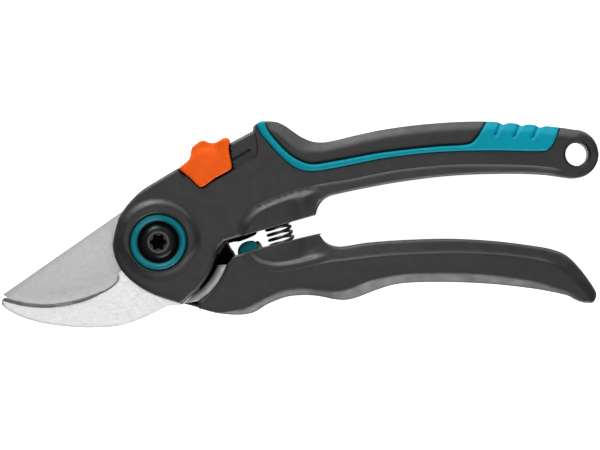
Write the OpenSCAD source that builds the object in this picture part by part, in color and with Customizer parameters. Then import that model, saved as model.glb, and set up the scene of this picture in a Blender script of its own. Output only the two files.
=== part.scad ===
// Bypass pruning shears, locked shut and lying on their back.
// Frame: the pivot axis is Z through the origin, Z = 0 is the surface the shears lie on,
// +X runs towards the handle ends and +Y towards the upper handle. Millimetres.

/* [Bodies] */
// Thickness of both handles over their flat faces
handle_t = 17; // [16.5:0.5:18]
// Height of the front pivot boss over the handle face
boss_h = 1.5; // [1:0.1:2]

/* [Blades] */
// Thickness of the counter blade
hook_t = 3.2; // [2.6:0.1:3.4]
// Thickness of the cutting blade
blade_t = 3; // [2.4:0.1:3.2]
// Width of the ground bevel on each blade
bevel_w = 1.2; // [0.8:0.1:2]

/* [Pivot] */
// Shank diameter of the pivot bolt
bolt_d = 8; // [6:0.5:8]
// Head diameter of the pivot bolt
bolt_head_d = 15.4; // [13:0.2:15.6]
// Width of the nut across its flats
nut_af = 13; // [11:0.5:13]
// Outer diameter of the coloured ring round the bolt head
ring_d = 20.8; // [20:0.2:21.6]

/* [Lock] */
// Travel of the lock slider along its slot
lock_travel = 10; // [8:0.5:10]
// Width of the guide slot
slot_w = 1.6; // [1.4:0.1:2.2]

/* [Spring] */
// Wire diameter of the return spring
wire_d = 1.1; // [1:0.1:1.3]
// Outer diameter of the return spring
spring_d = 10.2; // [10:0.2:11.4]
// Number of turns in the return spring
spring_turns = 8.5; // [6:0.5:8.5]

/* [Handle end] */
// Diameter of the hanging hole
hole_d = 8.6; // [7:0.2:9]

/* [Hidden] */

gap = 0.1;                              // between the two blades
fit = 0.05;                             // radial, round the pivot
far = 200;                              // longer than the tool
z_back = 0;                             // rear faces of the handles
z_mid = handle_t / 2;                   // the plane where the two blades meet
z_face = handle_t;                      // front faces of the handles
tool_t = handle_t + boss_h;
z_hook = z_mid + gap / 2;               // underside of the counter blade
z_cheek = z_hook + hook_t + fit;        // inner face of the front cheek
z_blade = z_mid - gap / 2 - blade_t;    // underside of the cutting blade
z_slot = z_blade - 0.2;                 // inner face of the rear cheek
z_thrust = z_slot - 0.5;                // floor of the thrust washer's recess
z_head = z_face - 2.6;                  // floor of the bolt head's recess
z_nut = z_back + 3.4;                   // roof of the nut's recess
nut_t = 2.5;
housing_d = 1.2;                        // the spring housings lie this far below the handle faces
bush_r = bolt_d / 2 + 1;
thrust_r = 9;
nut_recess_r = 8.4;
boss_r = 12.5;
free_r = 19.6;                          // free circle for the cutting blade between the cheeks
cheek_r = 28.6;                         // outer edge of the rear cheek
front_r = 25.7;                         // front edge of the lower handle over the rear cheek
back_r = cheek_r + 0.8;                 // front edge of the lower handle beside it
lock_angle = 29.8;                      // direction of the lock slider's travel
track_back = [35.2, 41.4];              // the slider runs along the line between these two
track_front = [8.4, 26.1];
plate_depth = 0.9;                      // track recess in the front face
rear_depth = 1.5;                       // and in the rear face
pin_u = 15.9;                           // slider pin, along and across the track
pin_v = -5.7;
hole_pos = [154.8, 32.5];
end_pos = [153.8, 32.6];                // centre of the rounded handle end
taper_x = 118;                          // the handles thin towards their ends from here
taper_a = 3;
spring_mid = [44.7, 3.4];               // where the spring's axis crosses the gap
spring_tilt = 15.6;
spring_top = 8;                         // seats, along the spring's axis from spring_mid
spring_bottom = -8.7;
pocket_r = spring_d / 2 + 0.6;
post_h = 5;                             // half height of bumper and stop
inner_t = 1.8;                          // soft material over the rigid core's faces
pin_r = 1.6;                            // tang pins, and where they end
z_pins = z_cheek + 2;

// ---- curves ----

function catmull(a, b, c, d, t) =
    0.5 * (2 * b + (c - a) * t + (2 * a - 5 * b + 4 * c - d) * t * t + (3 * b - a - 3 * c + d) * t * t * t);

// Points of a smooth open curve through p, without its last point
function curve(p, steps = 3) = [
    for (i = [0 : len(p) - 2]) for (k = [0 : steps - 1])
        catmull(i == 0 ? 2 * p[0] - p[1] : p[i - 1], p[i], p[i + 1],
                i == len(p) - 2 ? 2 * p[i + 1] - p[i] : p[i + 2], k / steps)
];

function reversed(p) = [for (i = [len(p) - 1 : -1 : 0]) p[i]];
function polar(r, a) = r * [cos(a), sin(a)];
function arc(c, r, a0, a1, n) = [for (i = [0 : n]) c + polar(r, a0 + (a1 - a0) * i / n)];
function left_of(v) = [-v.y, v.x] / norm(v);

// An open line lengthened by 1.5 at both ends
function run_out(p) = let (n = len(p), a = p[0] - p[1], b = p[n - 1] - p[n - 2])
    concat([p[0] + 1.5 * a / norm(a)], p, [p[n - 1] + 1.5 * b / norm(b)]);

// A plate with this outline from z0 to z1
module plate(p, z0, z1) translate([0, 0, z0]) linear_extrude(z1 - z0) polygon(p);

// Closed solid through a list of rings that all have the same number of points
module skin(rings) {
    n = len(rings[0]);
    top = len(rings) - 1;
    polyhedron(
        points = [for (r = rings) each r],
        faces = concat(
            [[for (i = [0 : n - 1]) i]],
            [[for (i = [n - 1 : -1 : 0]) top * n + i]],
            [for (k = [0 : top - 1]) for (i = [0 : n - 1])
                each [[k * n + i, (k + 1) * n + i, (k + 1) * n + (i + 1) % n],
                      [k * n + i, (k + 1) * n + (i + 1) % n, k * n + (i + 1) % n]]]));
}

// ---- outlines, counter-clockwise from above ----

notch = [24.4, 0.7];                    // where the cheeks meet the underside of the handle
cheek_foot = [8.6, -22.9];              // lowest point of the front cheek
front_cheek_edge = curve([cheek_foot, [11.4, -20.2], [14.9, -17.1], [18.5, -12.2], [20.8, -6.6], [21.7, -3],
    notch]);
rear_cheek_edge = concat([cheek_foot], arc([0, 0], cheek_r, -59, -10, 10),
    curve([[27.6, -3.7], [26.4, -2.1], [25.6, -0.4], notch], 2));
handle_bottom = concat(
    [notch],
    curve([[58.1, 10.3], [59.1, 13], [60.8, 15.4], [63.3, 17], [67, 18], [75, 19.7], [85, 21.6], [95, 23.1],
           [105, 24.3], [115, 25], [125, 25.3], [135, 25.3], [143, 24.9], [149, 24.1], [152.6, 23.6]], 2));
handle_end = arc(end_pos, 9.05, -92, 92, 12);
handle_top_points = [[151, 42.1], [141, 43.2], [131, 44], [121, 44.6], [112, 44.5], [102, 43.9], [92, 42.9],
    [82, 41.4], [73, 39.5], [66, 37.8], [61, 36.9], [57, 37.2], [53, 38.8], [49.5, 41.1], [46.5, 43.2],
    [43.6, 44.4], [40.5, 44.7], [38, 44.5], [36.2, 43.6]];
handle_top = curve(handle_top_points);
head_left = curve([[7.4, 27.4], [0, 23], [-6, 19.2], [-9.8, 15.7], [-12.8, 12], [-15.2, 7.6], [-16.8, 0],
    [-16.4, -4], [-14.9, -8.4], [-12.2, -12.2], [-8.6, -15.4], [-4.6, -18], [0.5, -20.3], cheek_foot]);
function without_first(p) = [for (i = [1 : len(p) - 1]) p[i]];
upper_rest = concat(handle_bottom, handle_end, handle_top, [[36.2, 43.6], track_back, track_front],
    head_left);
upper_front = concat(without_first(front_cheek_edge), upper_rest, [cheek_foot]);
upper_back = concat(without_first(rear_cheek_edge), upper_rest, [cheek_foot]);

// Lower and upper borders of the coloured strip, from its front end to the thumb pad
strip_low = curve([[35.6, 44.6], [37.2, 40.6], [39.6, 37.5], [44.7, 31.9], [50.4, 27.4], [57, 26.1],
    [68, 27.8], [83, 30.8], [102, 33], [122, 33.6], [141, 33.3], [144.6, 34.5], [146.6, 37.2], [149.4, 44]]);
strip_high = curve([[39.3, 45.6], [40.5, 41.5], [44.5, 36.4], [49.2, 32], [54.3, 29.2], [58.5, 28.8],
    [68, 30.3], [83, 33], [102, 35], [113, 35.8], [116.5, 37.3], [119.4, 41.6], [121.8, 46]]);
sky = 60;                               // above every outline
inlay_zone = concat(strip_low, [[150.4, sky], [121.8, sky]], reversed(strip_high),
    [[39.3, sky], [35.6, sky]]);
grip_zone = concat([[39.3, sky]], strip_high, [[121.8, sky]]);
core_depth = 2.6;                       // soft material over the rigid core
core_top = reversed(curve([for (p = handle_top_points) if (p.x < 146 && p.x > 39) p]));
core_zone = concat([for (p = core_top) p - [0, core_depth]],
    [[141, 31], [122, 31], [102, 30.5], [83, 28.5], [68, 25.5], [57, 24], [50, 25], [44, 30]]);

// Spring housings, let into both faces and open towards the gap
upper_housing = concat(curve([[29, 1], [30, 6], [32.6, 10.6], [36, 13.4], [40.5, 15.6], [46, 17.6],
    [51, 18.9], [55, 18.9], [58.5, 16.2], [61.5, 13]], 2), [[61.5, 8], [29, -2]]);
lower_housing = concat(curve([[31, -3.4], [33, -6.9], [36.4, -9], [41, -10.2], [47, -10.3], [53, -9],
    [57.5, -6.8], [61, -3.6], [63.5, 0.4]], 2), [[62, 5], [31, 2]]);

lower_top = curve([[38.2, -2], [58.4, 2.9], [59.7, 2.4], [61.2, 0.5], [63.2, -0.9], [65.8, -1.6], [69, -1.6],
    [78, -0.2], [92, 0.8], [108, 1.2], [124, 0.4], [140, -1.6], [147, -3.1], [151.5, -5.3], [156, -9.8],
    [160.3, -15.6], [162.1, -19], [161.6, -21.4], [160.4, -22.6]], 2);
lower_bottom = curve([[160.4, -22.6], [157, -22.4], [154.2, -21.2], [151, -19.7], [140, -17.5], [125, -15.7],
    [110, -14.9], [97, -14.9], [88, -15.6], [81, -17.6], [74, -20.3], [69.5, -21.4], [65, -21.2], [59, -20],
    [53, -19.7], [47, -20.4], [40.5, -22.9], [35.5, -25.9], [30, -26.9], [22, -26.3], [14.8, -24.5]], 2);
lower_bottom_back = [for (p = lower_bottom) if (norm(p) > back_r + 1) p];
lower_front = concat(lower_top, lower_bottom, [[14.8, -24.5]], arc([0, 0], front_r, -57, -17.5, 10),
    curve([[26.2, -7], [27.3, -5.3], [29.2, -4.6], [38.2, -2]], 2));
lower_back = concat(lower_top, lower_bottom_back, arc([0, 0], back_r, -58, -10.5, 10), [[29.9, -4.4]]);
bumper_outline = curve([[29.3, -4.7], [29.3, -2.8], [30.4, -0.9], [32.4, 0.2], [34.3, 0.5], [35.7, 0.1],
    [36.6, -0.9], [37.1, -2.4]], 2);
bumper_lip = [[38.8, -3.2], [38.4, -1.9], [37.7, -0.6], [37, 0.2], [36.3, 0.5], [35.7, 0.1], [36.6, -0.9],
    [37.1, -2.4]];
stop_outline = [[25, -0.8], [27.4, 0], [30, 0.2], [32.5, 1.1], [35.6, 2.5], [36.4, 3.6], [36.2, 5.6],
    [24, 2.4]];
bumper_zone = concat([[31, -6.5], [36.9, -5.2], [37.1, -2.4]], reversed(bumper_outline));

hook_edge = [[-15.2, -12.4], [-15.8, -14.7], [-20, -17.7], [-30, -21.3], [-40, -23], [-48, -22.7],
    [-53, -21.8], [-57.3, -20.6]];
hook_foot = cheek_foot + [0.2, -0.3];
hook_back = [[-57.3, -20.6], [-58.3, -22], [-57.4, -24.2], [-52, -27.4], [-44, -29.9], [-35, -31.3],
    [-26, -31.8], [-17, -31.4], [-10, -29.8], [-3, -26.9], [3, -24], hook_foot];
hook_tang = [[23.5, 5], [30, 9.5], [36, 12.4], [44, 15], [58, 19], [75, 23.6], [78, 26], [75, 27.8],
    [55, 24.6], [40, 21.6], [25, 19.4], [10, 18.2]];
hook_neck = [hook_foot, [12.5, -19.8], [14.9, -17.6], [16.8, -13.5], [18.6, -6], [23.5, 5]];
hook = concat(curve(hook_edge, 2), curve(hook_back, 2), curve(hook_neck, 2), curve(hook_tang, 1),
    arc([0, 0], 17.3, 100, 215, 14));

blade_edge = [[-57.6, -19.3], [-55, -21], [-50, -23.2], [-44, -24.6], [-37, -24.8], [-29, -23.6],
    [-20, -20.8], [-12, -17.2], [-7, -17.5], [1, -21.5], [8.7, -22.8]];
blade_ground = 7;                       // the edge is ground as far as this point

blade_tang = [[8.7, -22.8], [15.5, -21.8], [30, -18.3], [45, -14.4], [60, -12], [79, -11.2], [81, -9],
    [79, -6.6], [60, -7.2], [42, -8.9], [25.5, -8.3], [19, -8.6]];
blade = concat(curve(blade_edge, 2), blade_tang, arc([0, 0], 16, -20, 60, 6),
    arc([0, 0], 18.3, 66, 104, 5), arc([0, 0], 17.25, 110, 125, 2));

slider_outline = curve([[7.9, 27.7], [11, 30.4], [12, 33.6], [13.1, 35.7], [16.4, 37.6], [19.9, 36.6],
    [22.9, 37.8], [24.8, 38.6], [26.1, 37.6], [26.3, 34], [27, 29], [26.2, 26.8], [21, 23.8], [16.2, 20.7],
    [14.2, 21.6], [11.7, 24.1], [7.9, 27.7]], 3);

// In the slider's own directions, from track_front: along the track, across it
recess_outline = [[-0.4, 30], [-0.4, 2.2], [2.6, -8.4], [3.4, -9.1], [26.2, -9.3], [27.9, -8.3], [29.6, -4.9],
    [31.9, 1.5], [31.9, 30]];
catch_outline = [[-1.6, -11.6], [-0.5, -13.4], [9, -12.6], [17.2, -8.4], [18.2, -4.8], [13, -3.2], [4, -8]];
cavity_outline = [[-2.6, -14], [18.4 + lock_travel, -14], [18.8 + lock_travel, -2.6], [2, -2.6], [-2.4, -10]];

// ---- shared shapes ----

// In the slider's own directions: X along the track, Y across it
module on_track() translate([track_front.x, track_front.y, 0]) rotate(lock_angle) children();

// A cylinder along the spring's axis in the plane of the tool, between two stations
module along_spring(r, from, to)
    translate([spring_mid.x, spring_mid.y, z_mid]) rotate([0, 0, spring_tilt]) rotate([-90, 0, 0])
        translate([0, 0, from]) cylinder(r = r, h = to - from, $fn = 48);

// Lowers both faces of a handle inside an outline
module housing_cut(p)
    for (z = [z_face - housing_d, z_back + housing_d - 10]) plate(p, z, z + 10);

// Pins pressed in from the rear face that hold a blade's tang, and their holes
module tang_pins(positions, r = pin_r, z0 = z_back + 0.2, z1 = z_pins)
    for (p = positions) translate([p.x, p.y, z0]) cylinder(r = r, h = z1 - z0, $fn = 32);
module pin_holes(positions) tang_pins(positions, pin_r + 0.02, z_back - 1, z_pins + 0.2);

// The two wedges that thin a handle towards its rear end
module end_taper() {
    translate([taper_x, -60, z_face]) rotate([0, taper_a, 0]) cube([80, 140, 20]);
    translate([taper_x, -60, z_back]) rotate([0, -taper_a, 0]) translate([0, 0, -20]) cube([80, 140, 20]);
}

// Ground bevel along an edge of a blade, cut from the side of dir at height z
module bevel(blade_edge, z, dir) {
    edge = run_out(blade_edge);
    n = len(edge);
    skin([for (i = [0 : n - 1])
        let (side = left_of(edge[min(i + 1, n - 1)] - edge[max(i - 1, 0)]),
             o = edge[i] - 0.3 * side,
             w = edge[i] + (bevel_w + 0.3) * side)
        dir > 0 ? [[o.x, o.y, z - 1.6], [w.x, w.y, z + 0.4], [o.x, o.y, z + 0.4]]
                : [[o.x, o.y, z - 0.4], [w.x, w.y, z - 0.4], [o.x, o.y, z + 1.6]]]);
}

// How far up a spring the wire has climbed at t, from 0 to 1, with its end turns closed up
function climb(t) = t < 0.1 ? 0.7 * t : t > 0.9 ? 1 - 0.7 * (1 - t) : 0.07 + 0.86 * (t - 0.1) / 0.8;

// Sweeps a wire along a helix round Z, from 0 to h
module coil(d, wire, turns, h) {
    steps = 18;
    n = round(turns * steps);
    r = (d - wire) / 2;
    rise = h - wire;
    skin([for (i = [0 : n])
        let (a = 360 * i / steps, z = wire / 2 + rise * climb(i / n))
        [for (k = [0 : 7])
            let (q = r + wire / 2 * cos(45 * k))
            [q * cos(a), q * sin(a), z + wire / 2 * sin(45 * k)]]]);
}

hook_pins = [[34, 16], [64, 23]];
blade_pins = [[36, -12.8], [66, -9.3]];

// ---- upper half ----

module upper_slab() {
    plate(upper_back, z_back, z_slot);
    plate(upper_front, z_slot, z_face);
}

module core() plate(core_zone, z_back + inner_t, z_face - inner_t);

module upper_handle() color([0.25, 0.25, 0.26]) difference() {
    union() {
        difference() {
            upper_slab();
            plate(inlay_zone, -1, tool_t + 1);
            plate(grip_zone, -1, tool_t + 1);
        }
        core();
        translate([0, 0, z_face - 0.5]) cylinder(r1 = 16, r2 = boss_r, h = boss_h + 0.5, $fn = 96);
        // stop for the bumper
        plate(stop_outline, z_mid - post_h, z_mid + post_h);
    }
    housing_cut(upper_housing);
    // room for the cutting blade between the cheeks, and the counter blade's seat
    translate([0, 0, z_slot]) linear_extrude(z_hook - z_slot) blade_room();
    plate(hook, z_hook - 0.01, z_cheek);
    // pivot
    translate([0, 0, -1]) cylinder(r = bolt_d / 2 + fit, h = tool_t + 2, $fn = 64);
    translate([0, 0, z_head]) cylinder(d = bolt_head_d + 0.8, h = 10, $fn = 64);
    translate([0, 0, z_face - 0.6]) cylinder(d = ring_d, h = 10, $fn = 96);
    translate([0, 0, -1]) cylinder(r = nut_recess_r, h = z_nut + 1, $fn = 64);
    translate([0, 0, z_thrust]) cylinder(r = thrust_r + 0.1, h = 1, $fn = 64);
    // lock
    on_track() {
        for (z = [z_face - plate_depth, z_back + rear_depth - 10])
            translate([0, 0, z]) linear_extrude(10) polygon(recess_outline);
        for (x = [pin_u, pin_u + lock_travel])
            translate([x, pin_v, -1]) cylinder(d = slot_w, h = tool_t + 2, $fn = 32);
        translate([pin_u, pin_v - slot_w / 2, -1]) cube([lock_travel, slot_w, tool_t + 2]);
    }
    // spring, pins and hanging hole
    along_spring(pocket_r, -4, spring_top);
    pin_holes(hook_pins);
    translate([hole_pos.x, hole_pos.y, -1]) cylinder(d = hole_d, h = tool_t + 2, $fn = 64);
    for (side = [-1, 1]) translate([hole_pos.x, hole_pos.y, z_mid + side * 5])
        rotate([side > 0 ? 0 : 180, 0, 0]) cylinder(d1 = hole_d, d2 = hole_d + 5, h = 2.5, $fn = 64);
    end_taper();
}

module blade_room() {
    circle(r = free_r, $fn = 96);
    translate([-far, -far]) square([far - 4.7, 2 * far]);
    translate([-far, -far]) square([2 * far, far + 0.4]);
    on_track() polygon(cavity_outline);
}

module grip_pad() color([0.29, 0.27, 0.27]) difference() {
    intersection() {
        upper_slab();
        plate(grip_zone, -1, tool_t + 1);
    }
    core();
    on_track() translate([0, 0, -1])
        linear_extrude(tool_t + 2) polygon([[-2, 3], [33, 3], [33, 30], [-2, 30]]);
    end_taper();
}

module accent_inlay() color([0.05, 0.58, 0.66]) difference() {
    intersection() {
        upper_slab();
        plate(inlay_zone, -1, tool_t + 1);
    }
    core();
    // grooves of the thumb rest
    for (i = [0 : 2])
        translate([127.7 + 6.6 * i, 45.7 - 0.5 * i, -1]) cylinder(r = 2.4, h = tool_t + 2, $fn = 32);
    end_taper();
}

module counter_blade() color([0.88, 0.88, 0.9]) difference() {
    plate(hook, z_hook, z_hook + hook_t);
    translate([0, 0, z_hook - 1]) cylinder(r = bolt_d / 2 + fit, h = hook_t + 2, $fn = 64);
    pin_holes(hook_pins);
    bevel(reversed(curve(hook_edge, 2)), z_hook + hook_t, 1);
}

module counter_blade_pins() color([0.6, 0.6, 0.62]) tang_pins(hook_pins);

module pivot_bolt() color([0.1, 0.1, 0.11]) difference() {
    union() {
        translate([0, 0, 0.5]) cylinder(d = bolt_d, h = z_head, $fn = 64);
        translate([0, 0, z_head + 0.6]) cylinder(d = bolt_head_d, h = 1.6, $fn = 64);
        translate([0, 0, z_head + 2.2]) cylinder(d1 = bolt_head_d, d2 = bolt_head_d - 2, h = 0.8, $fn = 64);
        translate([0, 0, z_head - 0.5]) cylinder(d = bolt_d, h = 2, $fn = 64);
    }
    for (a = [0 : 60 : 300]) rotate(a) translate([2.9, 0, z_head + 1]) cylinder(r = 0.75, h = 5, $fn = 24);
    translate([0, 0, z_head + 1]) cylinder(r = 2.8, h = 5, $fn = 48);
}

module bolt_disc_spring() color([0.2, 0.2, 0.2]) washer(z_head, z_head + 0.6, bolt_head_d / 2 - 0.2);
module thrust_washer() color([0.75, 0.65, 0.4]) washer(z_thrust, z_blade - fit, thrust_r);
module nut_washer() color([0.6, 0.6, 0.62]) washer(z_nut - 0.5, z_nut, 7.9);

// Flat ring round the bolt's shank
module washer(z0, z1, r) difference() {
    translate([0, 0, z0]) cylinder(r = r, h = z1 - z0, $fn = 64);
    translate([0, 0, z0 - 1]) cylinder(r = bolt_d / 2 + fit, h = z1 - z0 + 2, $fn = 64);
}

module pivot_bush() color([0.7, 0.6, 0.35]) washer(z_blade - fit, z_mid, bush_r);

module pivot_nut() color([0.6, 0.6, 0.62]) difference() {
    translate([0, 0, z_nut - 0.5 - nut_t]) cylinder(d = nut_af / cos(30), h = nut_t, $fn = 6);
    translate([0, 0, -1]) cylinder(r = bolt_d / 2 + fit, h = 8, $fn = 64);
}

module pivot_ring() color([0.14, 0.45, 0.49]) difference() {
    translate([0, 0, z_face - 0.6]) cylinder(d = ring_d, h = 1.8, $fn = 96);
    translate([0, 0, z_face - 1]) cylinder(d = bolt_head_d + 1, h = 4, $fn = 96);
}

module return_spring() color([0.12, 0.12, 0.12])
    translate([spring_mid.x, spring_mid.y, z_mid]) rotate([0, 0, spring_tilt]) rotate([-90, 0, 0])
        translate([0, 0, spring_bottom + 0.1])
            coil(spring_d, wire_d, spring_turns, spring_top - spring_bottom - 0.2);

// ---- lower half ----

module lower_handle() color([0.25, 0.25, 0.26]) difference() {
    union() {
        plate(lower_back, z_back, z_slot + gap);
        plate(lower_front, z_slot + gap, z_face);
        plate(bumper_lip, z_mid - post_h, z_mid + post_h);
    }
    housing_cut(lower_housing);
    plate(blade, z_blade, z_blade + blade_t);
    plate(bumper_zone, z_mid - post_h, z_mid + post_h);
    along_spring(pocket_r, spring_bottom, 4);
    pin_holes(blade_pins);
    end_taper();
}

module cutting_blade() color([0.73, 0.73, 0.75]) difference() {
    plate(blade, z_blade, z_blade + blade_t);
    translate([0, 0, z_blade - 1]) cylinder(r = bush_r + fit, h = blade_t + 2, $fn = 64);
    pin_holes(blade_pins);
    bevel(curve([for (i = [0 : blade_ground]) blade_edge[i]], 2), z_blade, -1);
}

module cutting_blade_pins() color([0.6, 0.6, 0.62]) tang_pins(blade_pins);

module bumper() color([0.04, 0.35, 0.4])
    plate(bumper_zone, z_mid - post_h + 0.1, z_mid + post_h - 0.1);

// ---- lock ----

module lock_slider() color([0.91, 0.35, 0.1]) difference() {
    plate(slider_outline, z_back + 0.1, z_face + plate_depth);
    on_track() {
        translate([-20, -30, z_back + rear_depth - 0.1])
            cube([60, 30.3, handle_t - rear_depth - plate_depth + 0.2]);
        translate([pin_u, pin_v, z_back]) cylinder(d = slot_w - 0.1, h = handle_t, $fn = 32);
    }
}

module slider_pin() color([0.6, 0.6, 0.62]) on_track()
    translate([pin_u, pin_v, z_back]) cylinder(d = slot_w - 0.1, h = handle_t, $fn = 32);

module lock_plate() color([0.6, 0.6, 0.62]) on_track() difference() {
    translate([0, 0, z_blade + 0.1]) linear_extrude(blade_t - 0.2) polygon(catch_outline);
    translate([pin_u, pin_v, z_back]) cylinder(d = slot_w - 0.1, h = handle_t, $fn = 32);
}

upper_handle();
grip_pad();
accent_inlay();
counter_blade();
counter_blade_pins();
pivot_bolt();
bolt_disc_spring();
pivot_bush();
thrust_washer();
nut_washer();
pivot_nut();
pivot_ring();
return_spring();
lower_handle();
cutting_blade();
cutting_blade_pins();
bumper();
lock_slider();
slider_pin();
lock_plate();
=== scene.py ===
import bmesh
import bpy
import math
import numpy as np
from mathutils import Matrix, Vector
from mathutils.geometry import delaunay_2d_cdt


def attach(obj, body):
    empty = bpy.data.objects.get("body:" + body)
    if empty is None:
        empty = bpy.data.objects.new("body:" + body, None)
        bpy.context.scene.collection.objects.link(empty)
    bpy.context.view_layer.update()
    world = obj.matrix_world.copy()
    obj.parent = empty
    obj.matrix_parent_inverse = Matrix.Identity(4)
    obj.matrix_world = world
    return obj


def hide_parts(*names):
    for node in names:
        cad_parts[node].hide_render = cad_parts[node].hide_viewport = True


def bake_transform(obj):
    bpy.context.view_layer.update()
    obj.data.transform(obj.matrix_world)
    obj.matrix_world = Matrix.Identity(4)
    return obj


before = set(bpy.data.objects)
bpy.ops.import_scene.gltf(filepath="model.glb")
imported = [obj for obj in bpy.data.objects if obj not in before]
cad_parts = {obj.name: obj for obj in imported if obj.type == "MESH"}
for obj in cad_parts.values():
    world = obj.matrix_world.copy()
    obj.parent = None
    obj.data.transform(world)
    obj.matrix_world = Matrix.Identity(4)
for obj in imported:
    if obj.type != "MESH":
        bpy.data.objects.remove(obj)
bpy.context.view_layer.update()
MM = 0.001
SLIVER = 0.001          # edges shorter than this, left by a union, are closed up

# ---------------- sizes (mm), most of them as in part.scad
Z_FACE, Z_MID, HALF = 17.0, 8.5, 8.5    # front face, middle and half thickness of the handles
Z_HOOK, T_HOOK = 8.55, 3.2              # rear face and thickness of the counter blade
Z_BLADE, T_BLADE = 5.45, 3              # rear face and thickness of the cutting blade
Z_CHEEK = 11.8                          # rear face of the front cheek, over the counter blade
Z_SLOT = 5.25                           # floor of the cutting blade's slot
Z_SPLIT = Z_SLOT + 0.1                  # where the lower handle's front and rear part meet
Z_HEAD = Z_FACE - 2.6                   # floor of the bolt head's recess
PIVOT = (0, 0)
R_SEAT = 10.8                           # seat of the coloured ring
R_NUT_SEAT = 8.4
R_SHANK, R_BORE = 3.98, 4.06            # the bolt's shank and the bores round it
R_BUSHED = 5.06                         # clears the bush
BOSS, BOSS_UP = 1.5, 0.6                # height of the round boss, and how far it sits above the pivot
CREASE, CREASE_RUN = 0.3, 0.7           # height and width of the step along a crease
HOLE = np.array([154.8, 32.5])          # hanging hole
R_HOLE, R_HOLE_EDGE = 4.3, 5.2
LOCK_A = math.radians(29.8)             # the slider's track: its angle and its origin
TRACK = np.array([8.4, 26.1])
RIDGES = (127.4, 134.3, 141.1)          # grip ridges of the thumb rest
RIM_STEPS = (0.06, 0.2, 0.45, 0.8, 1.3)  # rings of mesh points inside an outline


# ---------------- 2-D curves
def curve(pts, steps=8):
    """Smooth open curve through pts, without its last point."""
    p = [np.array(q, float) for q in pts]
    p = [2 * p[0] - p[1]] + p + [2 * p[-1] - p[-2]]
    out = []
    for i in range(1, len(p) - 2):
        a, b, c, d = p[i - 1:i + 3]
        for k in range(steps):
            t = k / steps
            out.append(0.5 * (2 * b + (c - a) * t + (2 * a - 5 * b + 4 * c - d) * t * t
                              + (3 * b - a - 3 * c + d) * t ** 3))
    return out


def line(pts):
    """Smooth open curve through pts, with its last point."""
    return curve(pts) + [np.array(pts[-1], float)]


def arc(r, a0, a1, n, c=PIVOT):
    """n + 1 points on a circle, from a0 to a1 degrees."""
    turns = [math.radians(a0 + (a1 - a0) * i / n) for i in range(n + 1)]
    return [np.array(c) + r * np.array([math.cos(a), math.sin(a)]) for a in turns]


def resample(pts, step, closed=True, corner=28):
    """Even spacing along the outline, keeping its corners."""
    p = [np.array(q, float) for q in pts]
    clean = [p[0]]
    for q in p[1:]:
        if np.linalg.norm(q - clean[-1]) > 0.02:
            clean.append(q)
    if closed and np.linalg.norm(clean[0] - clean[-1]) < 0.02:
        clean.pop()
    p = np.array(clean)
    n = len(p)
    keep = []
    for i in range(n):
        if not closed and i in (0, n - 1):
            keep.append(i)
            continue
        a, b = p[i] - p[i - 1], p[(i + 1) % n] - p[i]
        cosine = a @ b / (np.linalg.norm(a) * np.linalg.norm(b))
        turn = math.degrees(math.acos(np.clip(cosine, -1, 1)))
        if turn > corner:
            keep.append(i)
    if not keep:
        keep = [0]
    spans = list(zip(keep, keep[1:] + ([keep[0] + n] if closed else [])))
    out = []
    for i, j in spans:
        q = np.array([p[k % n] for k in range(i, j + 1)])
        s = np.concatenate([[0], np.cumsum(np.linalg.norm(np.diff(q, axis=0), axis=1))])
        m = max(1, int(round(s[-1] / step)))
        t = np.linspace(0, s[-1], m + 1)
        out += list(np.stack([np.interp(t, s, q[:, 0]), np.interp(t, s, q[:, 1])], 1)[:-1])
    if not closed:
        out.append(p[-1])
    return np.array(out)


def dist(pts, poly, closed=True):
    """Distance from each point to a polyline."""
    pts, poly = np.atleast_2d(pts), np.asarray(poly, float)
    a = poly
    b = np.roll(poly, -1, axis=0) if closed else poly[1:]
    a = a if closed else a[:-1]
    d = b - a
    l2 = np.maximum((d * d).sum(1), 1e-12)
    best = np.full(len(pts), 1e9)
    for i in range(0, len(pts), 4000):
        q = pts[i:i + 4000]
        t = np.clip(((q[:, None, :] - a) * d).sum(2) / l2, 0, 1)
        e = q[:, None, :] - (a + t[:, :, None] * d)
        best[i:i + 4000] = np.sqrt((e * e).sum(2)).min(1)
    return best


def inside(pts, poly):
    """Which of the points lie inside a closed polygon."""
    pts, poly = np.atleast_2d(pts), np.asarray(poly, float)
    x, y = pts[:, 0], pts[:, 1]
    res = np.zeros(len(pts), bool)
    for a, b in zip(poly, np.roll(poly, -1, axis=0)):
        if a[1] == b[1]:
            continue
        hit = (a[1] > y) != (b[1] > y)
        res ^= hit & (x < (b[0] - a[0]) * (y - a[1]) / (b[1] - a[1]) + a[0])
    return res


def smooth(t):
    """An S-shaped step from 0 to 1."""
    t = np.clip(t, 0, 1)
    return t * t * (3 - 2 * t)


def roundoff(d, r, drop=None):
    """How far a quarter-round of radius r lies under the face at distance d from the edge."""
    t = np.clip(1 - d / r, 0, 1)
    return (drop or r) * (1 - np.sqrt(np.maximum(1 - t * t, 0)))


def loop_area(p):
    """Area inside a closed loop, negative when it runs clockwise."""
    q = np.roll(p, -1, axis=0)
    return (p[:, 0] * q[:, 1] - q[:, 0] * p[:, 1]).sum() / 2


def turned(loop, way=1):
    """The loop running counter-clockwise, or clockwise for way -1."""
    return loop if loop_area(loop) * way > 0 else loop[::-1]


def left_of(t):
    """Unit vectors to the left of the directions t."""
    return np.stack([-t[:, 1], t[:, 0]], 1) / np.maximum(np.linalg.norm(t, axis=1), 1e-9)[:, None]


def offset(pts, d):
    """An open line moved d to its left."""
    p = np.array(pts)
    return list(p + np.reshape(d, (-1, 1)) * left_of(np.gradient(p, axis=0)))


def inset(loop, d):
    """A closed loop moved d to its left."""
    return loop + left_of(np.roll(loop, -1, axis=0) - np.roll(loop, 1, axis=0)) * d


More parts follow.
